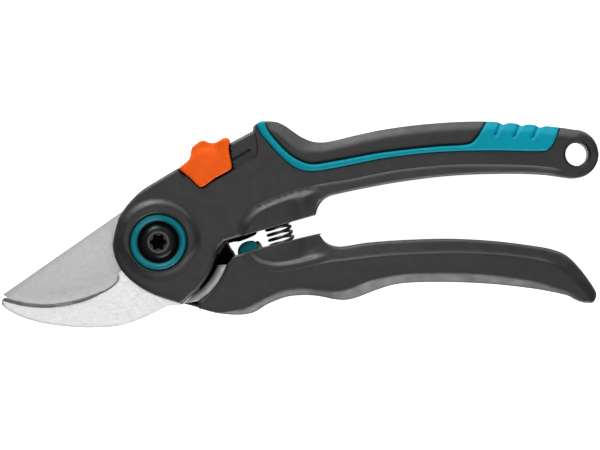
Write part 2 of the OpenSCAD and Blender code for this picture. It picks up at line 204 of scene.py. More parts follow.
def flat(z):
    """A level face at height z."""
    return lambda p: np.full(len(p), z)


# ---------------- meshes
def link_object(name, data):
    ob = bpy.data.objects.new(name, data)
    bpy.context.scene.collection.objects.link(ob)
    return ob


def shade(me, angle):
    me.shade_smooth()
    me.set_sharp_from_angle(angle=math.radians(angle))


def new_mesh(name, verts, faces):
    me = bpy.data.meshes.new(name)
    me.from_pydata([tuple(v) for v in np.asarray(verts) * MM], [], faces)
    me.validate()
    return me


def make_object(name, verts, faces, angle):
    me = new_mesh(name, verts, faces)
    shade(me, angle)
    return link_object(name, me)


class Region:
    """An outline with its holes."""

    def __init__(self, outline, holes, step):
        self.loops = [turned(resample(outline, step))]
        self.loops += [turned(resample(h, step * 0.7), -1) for h in holes]

    def border(self, q):
        """Distance from the nearest loop."""
        return np.min([dist(q, loop) for loop in self.loops], axis=0)

    def within(self, q):
        ok = inside(q, self.loops[0])
        for h in self.loops[1:]:
            ok &= ~inside(q, h)
        return ok


def apart(q, fixed, gap):
    """The points of q that are further than gap from every fixed point."""
    if not len(fixed) or not len(q):
        return q
    near = np.concatenate([np.sqrt(((q[i:i + 2000, None, :] - fixed) ** 2).sum(2)).min(1)
                           for i in range(0, len(q), 2000)])
    return q[near > gap]


def mesh_points(region, lines, step, grid, rings):
    """Points on the loops and lines, on rings inside the loops and on a grid, and the edges to keep."""
    pts, edges = [], []
    for loop in region.loops:
        k = len(pts)
        pts += list(loop)
        edges += [(k + i, k + (i + 1) % len(loop)) for i in range(len(loop))]
    border = len(pts)
    for ln in lines:
        q = resample(ln, step, closed=False)
        ids = {}
        for i in np.nonzero(region.within(q) & (region.border(q) > 0.25))[0]:
            ids[i] = len(pts)
            pts.append(q[i])
        edges += [(ids[i], ids[i + 1]) for i in ids if i + 1 in ids]
    fixed = np.array(pts[border:])
    for d in rings:
        q = np.concatenate([inset(loop, d) for loop in region.loops])
        q = q[region.within(q) & (region.border(q) > 0.93 * d)]
        pts += list(apart(q, fixed, min(0.3, 0.5 * step)))
    x0, y0 = region.loops[0].min(0)
    x1, y1 = region.loops[0].max(0)
    rows = np.arange(y0, y1, grid * 0.87)
    q = np.array([[x + (grid / 2 if j % 2 else 0), y]
                  for j, y in enumerate(rows) for x in np.arange(x0, x1, grid)])
    q = q[region.within(q)]
    q = q[region.border(q) > (rings[-1] if rings else 0) + 0.5 * grid]
    pts += list(apart(q, fixed, 0.5 * grid))
    return pts, edges


def triangulate(region, pts, edges):
    """Counter-clockwise triangles that fill the region."""
    res = delaunay_2d_cdt([Vector(p) for p in pts], edges, [], 0, 1e-5)
    v = np.array([[p.x, p.y] for p in res[0]])
    tri = np.array([f for f in res[2] if len(f) == 3])
    tri = tri[region.within(v[tri].mean(1))]
    a, b, c = v[tri[:, 0]], v[tri[:, 1]], v[tri[:, 2]]
    turn = (b[:, 0] - a[:, 0]) * (c[:, 1] - a[:, 1]) - (b[:, 1] - a[:, 1]) * (c[:, 0] - a[:, 0])
    real = np.abs(turn) > 1e-7
    tri, turn = tri[real], turn[real]
    tri[turn < 0] = tri[turn < 0][:, ::-1]
    used = np.unique(tri)
    remap = -np.ones(len(v), int)
    remap[used] = np.arange(len(used))
    return v[used], remap[tri]


def slab(outline, top, bottom, holes=(), lines=(), step=0.6, grid=0.9, rings=RIM_STEPS, walls=2):
    """A closed solid over an outline, between the heights top(points) and bottom(points)."""
    region = Region(outline, holes, step)
    v, tri = triangulate(region, *mesh_points(region, lines, step, grid, rings))
    n = len(v)
    zt, zb = top(v), bottom(v)
    verts = [np.column_stack([v, zt]), np.column_stack([v, zb])]
    faces = [tuple(f) for f in tri] + [tuple(int(i) + n for i in f[::-1]) for f in tri]
    # the wall between the two open borders
    half = {(int(f[i]), int(f[(i + 1) % 3])): True for f in tri for i in range(3)}
    open_edges = [e for e in half if (e[1], e[0]) not in half]
    column, between = {}, []
    for i in sorted({i for e in open_edges for i in e}):
        column[i] = [i]
        for k in range(1, walls):
            t = k / walls
            column[i].append(2 * n + len(between))
            between.append([v[i, 0], v[i, 1], zt[i] * (1 - t) + zb[i] * t])
        column[i].append(i + n)
    for a, b in open_edges:
        for k in range(walls):
            faces.append((column[a][k], column[a][k + 1], column[b][k + 1], column[b][k]))
    if between:
        verts.append(np.array(between))
    return np.concatenate(verts), faces


def united(name, parts, angle=40):
    """One closed solid from closed parts that touch or overlap."""
    obs = [link_object(name + "_part", new_mesh(name + "_part", v, f)) for v, f in parts]
    for other in obs[1:]:
        union = obs[0].modifiers.new("union", "BOOLEAN")
        union.operation = "UNION"
        union.solver = "MANIFOLD"
        union.object = other
    whole = obs[0].evaluated_get(bpy.context.evaluated_depsgraph_get())
    me = bpy.data.meshes.new_from_object(whole)
    bm = bmesh.new()
    bm.from_mesh(me)
    bmesh.ops.remove_doubles(bm, verts=bm.verts, dist=SLIVER * MM)
    bmesh.ops.dissolve_degenerate(bm, edges=bm.edges, dist=SLIVER * MM)
    bmesh.ops.triangulate(bm, faces=bm.faces)
    bm.to_mesh(me)
    bm.free()
    for ob in obs:
        old = ob.data
        bpy.data.objects.remove(ob)
        bpy.data.meshes.remove(old)
    me.name = name
    shade(me, angle)
    return link_object(name, me)


def turning(sections):
    """Faces that join closed sections of equal length, each to the next and the last to the first."""
    n, m = len(sections[0]), len(sections)
    faces = []
    for k in range(m):
        a, b = k * n, (k + 1) % m * n
        for i in range(n):
            j = (i + 1) % n
            faces.append((a + i, b + i, b + j, a + j))
    return faces


def around(profile, a):
    """A (r, z) profile at the angle a round Z."""
    return [[r * math.cos(a), r * math.sin(a), z] for r, z in profile]


def lathe(profile, seg=96):
    """Closed solid of revolution round Z from a closed (r, z) profile."""
    profile = turned(np.array(profile))
    sections = [around(profile, 2 * math.pi * k / seg) for k in range(seg)]
    return np.concatenate(sections), turning(sections)


def tube(path, r, sides=10):
    """Swept round wire along a path, with closed ends."""
    path = np.asarray(path, float)
    t = np.gradient(path, axis=0)
    t /= np.linalg.norm(t, axis=1)[:, None]
    up = np.array([0, 0, 1.0]) if abs(t[0][2]) < 0.9 else np.array([1.0, 0, 0])
    nrm = up - (up @ t[0]) * t[0]
    verts, faces = [], []
    for i, p in enumerate(path):
        nrm = nrm - (nrm @ t[i]) * t[i]
        nrm /= np.linalg.norm(nrm)
        b = np.cross(t[i], nrm)
        for k in range(sides):
            a = 2 * math.pi * k / sides
            verts.append(p + r * (math.cos(a) * nrm + math.sin(a) * b))
    m = len(path)
    for i in range(m - 1):
        for k in range(sides):
            j = (k + 1) % sides
            faces.append((i * sides + k, i * sides + j, (i + 1) * sides + j, (i + 1) * sides + k))
    faces.append(tuple(range(sides))[::-1])
    faces.append(tuple((m - 1) * sides + k for k in range(sides)))
    return np.array(verts), faces


# ---------------- outlines (mm)
NOTCH, FOOT = (24.4, 0.3), (8.6, -22.9)
front_cheek = curve([FOOT, (11.4, -20.2), (14.9, -17.1), (18.5, -12.2), (20.8, -6.6), (21.7, -3), NOTCH])
rear_cheek = [np.array(FOOT)] + arc(28.6, -59, -10, 30) + line([(27.6, -3.7), (26.4, -2.1), (25.6, -0.4)])
under_side = curve([(58.1, 10), (59.1, 13), (60.8, 15.4), (63.3, 17), (67, 18), (75, 19.7), (85, 21.6),
                    (95, 23.1), (105, 24.3), (115, 25), (125, 25.3), (135, 25.3), (143, 24.9),
                    (149, 24.1), (152.6, 23.6)])
end_round = arc(9.05, -92, 92, 40, (153.8, 32.6))
back_side = line([(151, 42.1), (141, 43.2), (131, 44), (121, 44.6), (112, 44.5), (102, 43.9),
                  (92, 42.9), (82, 41.4), (73, 39.5), (66, 37.8), (61, 36.9), (57, 37.2), (53, 38.8),
                  (49.5, 41.1), (46.5, 43.2), (43.6, 44.4), (40.5, 44.69), (38, 44.59), (36.8, 44.1),
                  (35.7, 43.4), (35, 42.6)])
head_left = curve([(7.4, 27.4), (0, 23), (-6, 19.2), (-9.8, 15.7), (-12.8, 12), (-15.2, 7.6),
                   (-16.8, 0), (-16.4, -4), (-14.9, -8.4), (-12.2, -12.2), (-8.6, -15.4), (-4.6, -18),
                   (0.5, -20.3), FOOT])
step_pts = [np.array((34.8, 41.1)), np.array((7.9, 26.5))]
strip_low = line([(35.6, 44.6), (37.2, 40.6), (39.6, 37.5), (44.7, 31.9), (50.4, 27.3), (57, 25.9),
                  (68, 27.6), (83, 30.6), (102, 32.8), (122, 33.5), (141, 33.3), (144.6, 34.5),
                  (146.6, 37.2), (149.4, 44)])
strip_high = line([(39.3, 45.6), (40.5, 41.5), (44.5, 36.4), (49.2, 32), (54.3, 29.4), (58.5, 29),
                   (68, 30.6), (83, 33.3), (102, 35.4), (113, 36.1), (116.5, 37.5), (119.4, 41.6),
                   (121.8, 46)])
upper_front = (front_cheek + [np.array(NOTCH)] + under_side + end_round + back_side + step_pts + head_left
               + [np.array(FOOT)])
back_xy = np.array(back_side)[::-1]


def back_y(x):
    """Height of the handle's back at x."""
    return np.interp(x, back_xy[:, 0], back_xy[:, 1])


def under_back(pts):
    """The part of a seam that lies inside the handle, with its two ends on the handle's back."""
    q = np.array(pts)
    ok = np.nonzero(q[:, 1] < back_y(q[:, 0]) - 0.05)[0]
    q = q[ok[0]:ok[-1] + 1]

    def end(i, j):
        t = np.linspace(0, 3, 61)[:, None]
        d = (q[i] - q[j]) / np.linalg.norm(q[i] - q[j])
        r = q[i] + t * d
        k = np.argmin(np.abs(r[:, 1] - back_y(r[:, 0])))
        return r[k]
    return [end(0, 1)] + list(q) + [end(-1, -2)]


low_in, high_in = under_back(strip_low), under_back(strip_high)


def back_between(x0, x1):
    """The back's points from x0 down to x1."""
    return [p for p in back_side if x1 + 0.15 < p[0] < x0 - 0.15]


def scallop(p):
    """Grip ridges along the thumb rest's outer edge."""
    x, y = p
    k = 0.8 * sum(math.exp(-((x - c) / 1.4) ** 2) for c in RIDGES)
    return np.array((x, y - k))


pad_outline = high_in + back_between(high_in[-1][0], high_in[0][0])
rest_edge = [scallop(p) for p in resample(back_between(low_in[-1][0], high_in[-1][0]), 0.3, closed=False)]
inlay_outline = low_in + rest_edge + high_in[::-1] + back_between(high_in[0][0], low_in[0][0])
end_back = [p for p in back_side if p[0] > low_in[-1][0] + 0.1]
start_back = [p for p in back_side if p[0] < low_in[0][0] - 0.1]
cut_all = ([np.array(NOTCH)] + under_side + end_round + end_back + low_in[::-1] + start_back + step_pts
           + head_left + [np.array(FOOT)])
cut_front, cut_rear = front_cheek + cut_all, rear_cheek + cut_all

lower_top = curve([(38.2, -2), (58.4, 2.9), (59.7, 2.4), (61.2, 0.5), (63.2, -0.9), (65.8, -1.6),
                   (69, -1.6), (78, -0.2), (92, 0.8), (108, 1.2), (124, 0.4), (140, -1.6), (147, -3.1),
                   (151.5, -5.3), (156, -9.8), (160.3, -15.6), (162.1, -19), (161.6, -21.4),
                   (160.4, -22.6)])
lower_bottom = curve([(160.4, -22.6), (157, -22.4), (154.2, -21.2), (151, -19.7), (140, -17.5),
                      (125, -15.7), (110, -14.9), (97, -14.9), (88, -15.6), (81, -17.6), (74, -20.3),
                      (69.5, -21.4), (65, -21.2), (59, -20), (53, -19.7), (47, -20.4), (40.5, -22.9),
                      (35.5, -25.9), (30, -26.9), (22, -26.3), (14.8, -24.5)])
nose = curve([(26.4, -7), (27.3, -5.7), (29, -4.8), (38.2, -2)])
lower_front = lower_top + lower_bottom + [np.array((14.8, -24.5))] + arc(26.7, -56.5, -17.5, 30) + nose
lower_rear = (lower_top + [p for p in lower_bottom if np.hypot(*p) > 30.4] + arc(29.4, -58, -10.5, 30)
              + [np.array((29.9, -4.4))])

hook_edge = [(-15.2, -12.4), (-15.8, -14.7), (-20, -17.7), (-30, -21.3), (-40, -23), (-48, -22.7),
             (-53, -21.8), (-57.3, -20.6)]
hook_back = [(-57.3, -20.6), (-58.28, -22), (-57.4, -24.2), (-52, -27.4), (-44, -29.9), (-35, -31.3),
             (-26, -31.79), (-17, -31.4), (-10, -29.8), (-3, -26.9), (3, -24), (8.8, -23.2)]
hook_tang = [(23.5, 5), (30, 9.5), (36, 12.4), (44, 15), (58, 19), (75, 23.6), (78, 26), (75, 27.8),
             (55, 24.6), (40, 21.6), (25, 19.4), (10, 18.2)]
hook = (curve(hook_edge) + curve(hook_back)
        + curve([(8.8, -23.2), (12.5, -19.8), (14.9, -17.6), (16.8, -13.5), (18.6, -6), (23.5, 5)])
        + hook_tang[:-1] + arc(17.3, 100, 215, 40))
blade_edge = [(-58.2, -19.5), (-56.9, -20.5), (-55, -22), (-50, -23.9), (-44, -25.2), (-37, -25.2),
              (-29, -23.8), (-20, -20.8), (-12, -17.2), (-7, -17.5), (1, -21.5), (8.7, -22.8)]
blade_tang = [(8.7, -22.8), (15.5, -21.8), (30, -18.3), (45, -14.4), (60, -12), (79, -11.2), (81, -9),
              (79, -6.6), (60, -7.2), (42, -8.9), (25.5, -8.3), (19, -8.6)]
blade = (curve(blade_edge) + blade_tang + arc(16, -20, 60, 20) + arc(18.3, 66, 104, 14)
         + arc(17.25, 110, 125, 6))

# ---------------- heights (mm)
crease_up = line([(28.4, 0.5), (29.5, 5), (30.5, 8), (33, 11.5), (36, 13.8), (40, 15.8), (45, 17.8),
                  (50, 19.5), (56, 20.8), (62, 22), (70, 23.2), (80, 25.3), (90, 27), (100, 28.1),
                  (110, 28.8), (120, 28.9), (135, 28.6), (145, 27.8), (151.5, 26.3)])
flank_up = crease_up + [np.array(p) for p in ((158, 22), (140, 14), (60, 2), (29, -6))]
crease_low = line([(30.2, -3.6), (31.4, -5.6), (33.4, -7.8), (36, -9.6), (40, -10.8), (44, -11.2),
                   (50, -10.5), (56, -9.2), (62, -7.8), (70, -6.8), (80, -5.6), (90, -4.8), (100, -4.4),
                   (110, -4.2), (125, -4.8), (137, -6.2), (143, -7.4), (148, -9.6), (153, -13.6),
                   (157.5, -18.6), (160.6, -23.4)])
flank_low = crease_low + [np.array(p) for p in ((166, -24), (166, 8), (30, 8))]
band_low = line([(20, -26.8), (26, -25.2), (32, -24), (36, -22), (40, -19.6), (45, -17.3), (50, -16.4),
                 (55, -16.2), (60, -16.8), (65, -17.3), (70, -16.8), (75, -14.9), (80, -13.3),
                 (90, -11.5), (100, -11), (110, -11), (120, -11.5), (130, -12.7), (140, -14.4),
                 (150, -17.5), (155, -20), (161, -24.5)])
belly_low = band_low + [np.array(p) for p in ((161, -45), (18, -45))]
outline_up = resample(upper_front, 0.6)
outline_low = resample(lower_front, 0.6)
recess_uv = [(-0.4, 30), (-0.4, 2.2), (2.6, -8.4), (3.4, -9.1), (26.2, -9.3), (27.9, -8.3),
             (29.6, -4.9), (31.9, 1.5), (31.9, 30)]


def from_track(uv):
    """Places given along and across the slider's track."""
    u, v = np.asarray(uv, float).T
    return np.stack([TRACK[0] + u * math.cos(LOCK_A) - v * math.sin(LOCK_A),
                     TRACK[1] + u * math.sin(LOCK_A) + v * math.cos(LOCK_A)], 1)


def rounded(pts, r, n=6):
    """Closed outline with its corners rounded."""
    p = [np.array(q, float) for q in pts]
    out = []
    for i in range(len(p)):
        a, b, c = p[i - 1], p[i], p[(i + 1) % len(p)]
        da, dc = a - b, c - b
        k = min(r, 0.45 * np.linalg.norm(da), 0.45 * np.linalg.norm(dc))
        s, e = b + k * da / np.linalg.norm(da), b + k * dc / np.linalg.norm(dc)
        out += [(1 - t) ** 2 * s + 2 * t * (1 - t) * b + t * t * e for t in np.linspace(0, 1, n)]
    return out


recess = np.array(rounded(from_track(recess_uv), 1.6))
slider_pts = curve([(7.45, 27.2), (9.5, 28.9), (11, 30.2), (11.8, 31.7), (12, 33.4), (12.4, 34.9),
                    (13.6, 36), (15, 37), (16.4, 37.55), (18, 37.1), (19.4, 36.7), (20.8, 36.75),
                    (22.2, 37.3), (23.6, 38.2), (24.8, 38.6), (25.8, 38.3), (26.2, 37.3), (26.0, 35.6),
                    (26.0, 33.6), (26.6, 30.6), (27, 28.6), (26.9, 27.3), (26.1, 26.5), (24.4, 25.5),
                    (21, 23.7), (17.6, 21.2), (16.4, 20.5), (15.4, 20.4), (14.2, 21.2), (11.7, 23.7),
                    (7.45, 27.2)])
slider_poly = resample(slider_pts, 0.5)


def signed(pts, poly):
    """Distance from the polygon's border, negative outside."""
    d = dist(pts, poly)
    return np.where(inside(pts, poly), d, -d)


def crisp(d, w=0.5):
    """A slope of 1 that starts within w."""
    return np.where(d < w, d * d / (2 * w), d - w / 2)


def taper(x):
    """The handles get thinner towards their ends, by 3 degrees a side."""
    return math.tan(math.radians(3)) * crisp(np.maximum(x - 116, 0), 6)


def crown(d):
    """The faces are very slightly crowned."""
    return 0.12 * (1 - smooth(d / 7))


def upper_half(p, front=True):
    """Half thickness of the upper handle, strip and pad."""
    x, y = p[:, 0], p[:, 1]
    h = np.full(len(p), HALF)
    d = dist(p, outline_up)
    r = np.hypot(x, y)
    # inner flank, and the spring housing let into it
    fl = inside(p, flank_up)
    dc = np.where(fl, dist(p, crease_up, closed=False), 0)
    step = CREASE * smooth(dc / CREASE_RUN)
    housing = step + 1.5 * smooth((dc - 0.9) / 2.6) + 0.3 * smooth((dc - 4) / 5)
    housing += 0.9 * np.exp(-((x - 53.5) / 4) ** 2) * smooth((dc - 2) / 4)
    flank = step + 0.31 * crisp(dc, 0.8)
    k = smooth((x - 53) / 8)
    h -= np.where(fl, ((1 - k) * housing + k * flank) * (1 - smooth((x - 146) / 8)), 0)
    # back of the handle is full and round
    back = smooth((y - back_y(x) + 9) / 2) * smooth((x - 38) / 4) * (1 - smooth((x - 152) / 9))
    hump = np.exp(-((x - 50) / 7) ** 2)
    width = 4.6 + 2.2 * hump
    h -= back * (0.66 - 0.1 * hump) * crisp(np.maximum(width - d, 0), 2.6)
    edge = np.where((x > 60) & (y < back_y(x) - 9), roundoff(d, 0.8, 0.5), roundoff(d, 1.6, 1.3))
    inner = smooth(dc / 2) * (1 - smooth((x - 56) / 4))
    h -= (1 - back) * ((1 - inner) * edge + inner * roundoff(d, 0.5, 0.4))
    h -= taper(x)
    # countersunk edge of the hanging hole
    rh = np.hypot(x - HOLE[0], y - HOLE[1])
    h -= 1.3 * np.clip((R_HOLE_EDGE - rh) / 0.9, 0, 1)
    in_track = signed(p, recess)
    if front:
        # round boss, the ring's seat and the slider's track
        rb = np.hypot(x, y - BOSS_UP)
        spread = 2.8 * smooth((BOSS_UP - y) / 10)
        h += BOSS * smooth(np.clip((16.8 - rb) / (3.8 + spread), 0, 1) ** 1.6)
        h -= 0.35 * roundoff(np.maximum(r - R_SEAT, 0), 0.7, 1)
        h -= 1.3 * smooth((in_track + 0.12) / 0.4)
        # a fine groove round the slider
        h -= 1.6 * (1 - smooth((dist(p, slider_poly) - 0.15) / 0.35)) * (in_track > -0.2)
    else:
        h -= 1.5 * smooth((in_track + 0.12) / 0.4)
        h -= 0.4 * roundoff(np.maximum(r - R_NUT_SEAT, 0), 0.5, 1)
    return h - crown(d)


def lower_half(p):
    """Half thickness of the lower handle."""
    x = p[:, 0]
    h = np.full(len(p), HALF)
    d = dist(p, outline_low)
    fl = inside(p, flank_low)
    dc = np.where(fl, dist(p, crease_low, closed=False), 0)
    step = CREASE * smooth(dc / CREASE_RUN)
    housing = step + 1.5 * smooth((dc - 2.0) / 2.2) + 0.2 * smooth((dc - 4.5) / 4)
    housing += 0.9 * np.exp(-((x - 55.5) / 4) ** 2) * smooth((dc - 3) / 4)
    slope = 0.3 + 0.06 * smooth((x - 140) / 12)
    flank = step * (1 - smooth((x - 142) / 8)) + slope * crisp(dc, 0.6)
    k = smooth((x - 56) / 8)
    h -= np.where(fl, (1 - k) * housing + k * np.minimum(flank, 5), 0)
    # full, round belly
    be = inside(p, belly_low)
    db = dist(p, band_low, closed=False)
    soft_start = 0.7 + 1.0 * smooth((x - 34) / 10) * (1 - smooth((x - 62) / 14))
    h -= np.where(be, 0.72 * crisp(db, soft_start), 0)
    inner = smooth(dc / 2) * (1 - smooth((x - 60) / 6))
    inner = np.maximum(inner, smooth(db / 2) * be)
    h -= (1 - inner) * roundoff(d, 1.2, 0.8) + inner * roundoff(d, 0.5, 0.35)
    h -= taper(x)
    return h - crown(d)


def circle(c, r, n=64):
    turns = [2 * math.pi * i / n for i in range(n)]
    return [np.array(c) + r * np.array((math.cos(a), math.sin(a))) for a in turns]


def capsule(a, b, r, n=8):
    """A slot's outline with round ends at a and b."""
    a, b = np.array(a, float), np.array(b, float)
    w = math.degrees(math.atan2(*(b - a)[::-1]))
    return arc(r, w + 90, w + 270, n, a) + arc(r, w - 90, w + 90, n, b)


def crease_lines(crease, way):
    """The middle and the far edge of the narrow step along a crease."""
    return [offset(crease, way * w) for w in (CREASE_RUN / 2, CREASE_RUN)]


def ring_of(poly):
    """A closed polygon as an open line that ends where it starts."""
    return list(poly) + [poly[0]]


slot_ends = from_track([(15.9, -5.7), (25.9, -5.7)])
slot_hole = capsule(*slot_ends, 0.5)
recess_lines = [offset(ring_of(slider_poly), -0.15)]
recess_lines += [offset(ring_of(resample(recess, 0.6)), w) for w in (-0.12, 0.28)]

# ---------------- upper handle
hook_poly = resample(hook, 0.8)


def in_room(p):
    """The head's room for the cutting blade."""
    r = np.hypot(p[:, 0], p[:, 1])
    return (r < 19.6) | (p[:, 0] < -4.7) | (p[:, 1] < 0.4)


both_lines = [circle(HOLE, R_HOLE_EDGE, 60)] + crease_lines(crease_up, -1) + recess_lines
boss_lines = [circle((0, BOSS_UP), 15.4, 130), circle((0, BOSS_UP), 13.6, 110)]
front_part = slab(cut_front,
                  lambda p: Z_MID + upper_half(p),
                  lambda p: np.where(inside(p, hook_poly) & (p[:, 0] < 26), Z_CHEEK, Z_HOOK - 0.05),
                  holes=[circle(PIVOT, R_SEAT, 90), circle(HOLE, R_HOLE, 48), slot_hole],
                  lines=[crease_up] + boss_lines + both_lines)
rear_part = slab(cut_rear,
                 lambda p: np.where(in_room(p), Z_SLOT, Z_MID),
                 lambda p: Z_MID - upper_half(p, False),
                 holes=[circle(PIVOT, R_NUT_SEAT, 80), circle(HOLE, R_HOLE, 48), slot_hole],
                 lines=[crease_up] + both_lines, grid=1.2)
front_seat = lathe([(R_SEAT + 0.05, Z_FACE - 0.62), (7.9, Z_FACE - 0.62), (7.9, Z_HEAD), (R_BORE, Z_HEAD),
                    (R_BORE, Z_CHEEK), (R_SEAT + 0.05, Z_CHEEK)])
rear_seat = lathe([(R_NUT_SEAT + 0.05, 3.4), (R_NUT_SEAT + 0.05, 4.75), (R_BORE, 4.75), (R_BORE, 3.4)])
slot_floor = slab(capsule(*slot_ends, 0.9), flat(12.6), flat(4.2), rings=(), walls=1)
rib_outline = rounded([(25, -0.8), (27.4, 0), (30, 0.2), (32.5, 1.1), (35.6, 2.5), (36.4, 3.6),
                       (36.2, 5.6), (24, 2.4)], 0.3)
stop_rib = slab(rib_outline, flat(13.4), flat(3.6), rings=())
handle_up = united("upper_handle_shell",
                   [front_part, rear_part, front_seat, rear_seat, slot_floor, stop_rib])


# ---------------- grip pad and teal inlay
def pad_half(p):
    """The pad is rounded off towards its seam."""
    return upper_half(p) - roundoff(dist(p, high_in, closed=False), 1.5, 0.75)


def rest_grooves(p):
    """Slanted grooves of the thumb rest."""
    k = np.zeros(len(p))
    for c in RIDGES:
        path = np.array([(c + 0.2, 46.5 - 0.08 * (c - 127)), (c - 0.7, 43.6 - 0.1 * (c - 127)),
                         (c - 2.1, 41.1 - 0.09 * (c - 127)), (c - 2.9, 39.7 - 0.08 * (c - 127))])
        k = np.maximum(k, 1 - smooth(dist(p, path, closed=False) / 1.2))
    return k


def inlay_half(p):
    """The inlay stands up from a fine groove along its seams, and has the thumb rest's grooves."""
    e = np.minimum(dist(p, low_in, closed=False), dist(p, high_in, closed=False))
    bead = 0.75 * (1 - np.clip(1 - e / 1.5, 0, 1) ** 2) - 1.5 * np.clip(1 - e / 0.55, 0, 1)
    return upper_half(p) + bead - rest_grooves(p)


def both(half):
    """Front and rear face of a piece from its half thickness."""
    return (lambda p: Z_MID + half(p)), (lambda p: Z_MID - np.minimum(half(p), HALF))


pad = make_object("soft_grip_pad",
                  *slab(pad_outline, *both(pad_half), grid=0.8, rings=RIM_STEPS + (2.0,)), 60)
inlay = make_object("accent_strip_and_thumb_rest",
                    *slab(inlay_outline, *both(inlay_half), step=0.45, grid=0.55,
                          rings=RIM_STEPS[:4] + (1.2,)), 60)

# ---------------- lower handle
low_front = slab(lower_front, lambda p: Z_MID + lower_half(p), flat(Z_SPLIT),
                 lines=[crease_low, band_low] + crease_lines(crease_low, 1))
low_rear = slab(lower_rear, flat(Z_SPLIT), lambda p: Z_MID - lower_half(p),
                lines=[crease_low] + crease_lines(crease_low, 1), grid=1.2)
post_outline = rounded([(38.8, -3.2), (38.4, -1.9), (37.7, -0.6), (37, 0.2), (36.3, 0.5), (35.7, 0.1),
                        (36.6, -0.9), (37.1, -2.4)], 0.3)
post = slab(post_outline, lambda p: 12.8 - 0.7 * (p[:, 1] + 1.4), flat(3.6), rings=())
handle_low = united("lower_handle_shell", [low_front, low_rear, post])

# ---------------- blades
edge_hook = np.array(line(hook_edge))


def bevel_width(x):
    """The hook's ground bevel narrows towards the heel."""
    return 0.35 + 1.0 * smooth((-14 - x) / 16)


def hook_top(p):
    d = dist(p, edge_hook, closed=False)
    bevel = 0.36 * np.maximum(bevel_width(p[:, 0]) - d, 0)
    return Z_HOOK + T_HOOK - bevel - 0.25 * roundoff(dist(p, hook_poly), 0.25, 1) * (d > 1.3)


bevel_line = offset(edge_hook, bevel_width(edge_hook[:, 0]))
hook_ob = make_object("counter_blade_ground",
                      *slab(hook, hook_top, flat(Z_HOOK), holes=[circle(PIVOT, R_BORE, 40)],
                            lines=[bevel_line], step=0.5, grid=1.5, rings=(0.12, 0.3, 1.15)), 25)
edge_blade = np.array(line(blade_edge[:9]))
blade_poly = resample(blade, 0.8)


def blade_bottom(p):
    """Ground to an edge from behind."""
    return Z_BLADE + 2.3 * np.clip(1 - dist(p, edge_blade, closed=False) / 2.6, 0, 1)


def blade_top(p):
    return Z_BLADE + T_BLADE - 0.22 * roundoff(dist(p, blade_poly), 0.22, 1)


blade_ob = make_object("cutting_blade_ground",
                       *slab(blade, blade_top, blade_bottom, holes=[circle(PIVOT, R_BUSHED, 48)],
                             step=0.5, grid=1.5, rings=(0.1, 0.25, 2.6)), 25)

# ---------------- pivot
SOCKET_R, SOCKET_LOBE = 2.75, 0.4
NEAR_AXIS = 0.005       # a turned profile stays off the axis, so the shank keeps a channel this wide
socket = [np.array((math.cos(a), math.sin(a))) * (SOCKET_R + SOCKET_LOBE * math.cos(6 * a))
          for a in np.linspace(0, 2 * math.pi, 73)[:-1]]
dome_part = lathe([(3.5, 15.2), (3.5, 17.22), (3.58, 17.36), (3.86, 17.36), (3.96, 17.2), (4.4, 17.14),
                   (4.9, 17.0), (5.4, 16.8), (5.9, 16.48), (6.4, 16.13), (6.9, 15.78), (7.3, 15.45),
                   (7.55, 15.2), (7.4, 15.0), (3.9, 15.0)])
socket_part = slab(circle(PIVOT, 3.56, 60), flat(16.95), flat(15.2), holes=[socket], step=0.3, grid=0.4,
                   rings=(0.1,))
shank_part = lathe([(NEAR_AXIS, 15.35), (NEAR_AXIS, 0.55), (3.6, 0.5), (R_SHANK, 0.9), (R_SHANK, 15.35)],
                   64)
bolt = united("pivot_bolt_domed", [dome_part, socket_part, shank_part])
ring = make_object("pivot_ring_rounded",
                   *lathe([(8.0, 16.42), (8.0, 16.8), (8.3, 17.5), (8.8, 17.95), (9.3, 18.1),
                           (9.8, 17.95), (10.3, 17.5), (10.6, 16.8), (10.6, 16.42)], 128), 60)


def hex_nut(seg=72):
    """A six-sided nut with its corners turned off at both faces."""
    sections = []
    for k in range(seg):
        a = 2 * math.pi * k / seg
        side_r = 6.5 / math.cos((a + math.pi / 6) % (math.pi / 3) - math.pi / 6)
        face_r, corner_r = min(side_r, 6.9), min(side_r, 7.45)
        profile = [(face_r, 0.42), (corner_r, 0.75), (corner_r, 2.6), (face_r, 2.88),
                   (4.3, 2.88), (R_BORE, 2.7), (R_BORE, 0.6), (4.3, 0.42)]
        sections.append(around(profile, a))
    return np.concatenate(sections), turning(sections)


nut = make_object("pivot_nut_chamfered", *hex_nut(), 30)


# ---------------- lock slider
def track_v(p):
    """Distance across the slider's track."""
    q = p - TRACK
    return -q[:, 0] * math.sin(LOCK_A) + q[:, 1] * math.cos(LOCK_A)


def track_u(p):
    """Distance along the slider's track."""
    q = p - TRACK
    return q[:, 0] * math.cos(LOCK_A) + q[:, 1] * math.sin(LOCK_A)


def slider_top(p):
    """A thumb hollow between the two horns, and the face falling off above the track line."""
    v, u = track_v(p), track_u(p)
    z = 17.85 - roundoff(dist(p, slider_poly), 0.9, 0.75)
    hollow = np.exp(-(((u - 14.6) / 3.4) ** 2 + ((v - 2.2) / 3.4) ** 2))
    z -= 1.5 * hollow
    return z - 1.1 * smooth((v - 0.8) / 4.5)


def slider_back(p):
    return 0.1 + 0.5 * roundoff(dist(p, slider_poly), 0.75, 1)


